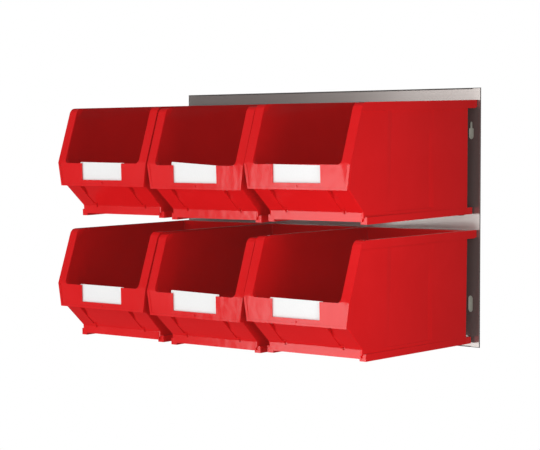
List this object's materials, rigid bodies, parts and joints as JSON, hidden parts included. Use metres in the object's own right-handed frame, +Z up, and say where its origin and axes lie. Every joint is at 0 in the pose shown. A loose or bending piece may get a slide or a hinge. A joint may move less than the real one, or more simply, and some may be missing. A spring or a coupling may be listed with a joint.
{
  "type": "hanging parts bin set",
  "caption": "Open-fronted hanging parts bins with label cards, hooked in two rows on a louvred steel wall panel.",
  "frame": {"origin": "centre of the panel's upper wall-contact strip, on the wall plane", "axes": "+Z up, +X to the right of a person facing the bins, the bins open towards -Y and the wall is the plane y = 0"},
  "size_m": [0.641, 0.3403, 0.4174],
  "materials": {
    "panel_steel": "satin sheet steel with a clear coat",
    "bin_red": "satin moulded polypropylene, fine grain",
    "label_paper": "plain white card"
  },
  "bodies": {
    "panel": {"louvre_panel": "panel_steel"},
    "bin_top_left_body": {"bin_top_left": "bin_red"},
    "label_card_top_left_body": {"label_card_top_left": "label_paper"},
    "bin_top_middle_body": {"bin_top_middle": "bin_red"},
    "label_card_top_middle_body": {"label_card_top_middle": "label_paper"},
    "bin_top_right_body": {"bin_top_right": "bin_red"},
    "label_card_top_right_body": {"label_card_top_right": "label_paper"},
    "bin_bottom_left_body": {"bin_bottom_left": "bin_red"},
    "label_card_bottom_left_body": {"label_card_bottom_left": "label_paper"},
    "bin_bottom_middle_body": {"bin_bottom_middle": "bin_red"},
    "label_card_bottom_middle_body": {"label_card_bottom_middle": "label_paper"},
    "bin_bottom_right_body": {"bin_bottom_right": "bin_red"},
    "label_card_bottom_right_body": {"label_card_bottom_right": "label_paper"}
  },
  "joints": [
    {"name": "lift_bin_top_left", "type": "slide", "parent": "panel", "child": "bin_top_left_body", "axis": [0, -0.2588, 0.9659], "range_m": [0, 0.08]},
    {"name": "draw_label_card_top_left", "type": "slide", "parent": "bin_top_left_body", "child": "label_card_top_left_body", "axis": [0, -0.034, 0.9994], "range_m": [0, 0.04]},
    {"name": "lift_bin_top_middle", "type": "slide", "parent": "panel", "child": "bin_top_middle_body", "axis": [0, -0.2588, 0.9659], "range_m": [0, 0.08]},
    {"name": "draw_label_card_top_middle", "type": "slide", "parent": "bin_top_middle_body", "child": "label_card_top_middle_body", "axis": [0, -0.041, 0.9992], "range_m": [0, 0.04]},
    {"name": "lift_bin_top_right", "type": "slide", "parent": "panel", "child": "bin_top_right_body", "axis": [0, -0.2588, 0.9659], "range_m": [0, 0.08]},
    {"name": "draw_label_card_top_right", "type": "slide", "parent": "bin_top_right_body", "child": "label_card_top_right_body", "axis": [0, -0.0314, 0.9995], "range_m": [0, 0.04]},
    {"name": "lift_bin_bottom_left", "type": "slide", "parent": "panel", "child": "bin_bottom_left_body", "axis": [0, -0.2588, 0.9659], "range_m": [0, 0.018]},
    {"name": "draw_label_card_bottom_left", "type": "slide", "parent": "bin_bottom_left_body", "child": "label_card_bottom_left_body", "axis": [0, -0.0211, 0.9998], "range_m": [0, 0.04]},
    {"name": "lift_bin_bottom_middle", "type": "slide", "parent": "panel", "child": "bin_bottom_middle_body", "axis": [0, -0.2588, 0.9659], "range_m": [0, 0.018]},
    {"name": "draw_label_card_bottom_middle", "type": "slide", "parent": "bin_bottom_middle_body", "child": "label_card_bottom_middle_body", "axis": [0, -0.0298, 0.9996], "range_m": [0, 0.04]},
    {"name": "lift_bin_bottom_right", "type": "slide", "parent": "panel", "child": "bin_bottom_right_body", "axis": [0, -0.2588, 0.9659], "range_m": [0, 0.018]},
    {"name": "draw_label_card_bottom_right", "type": "slide", "parent": "bin_bottom_right_body", "child": "label_card_bottom_right_body", "axis": [0, -0.0195, 0.9998], "range_m": [0, 0.04]}
  ]
}
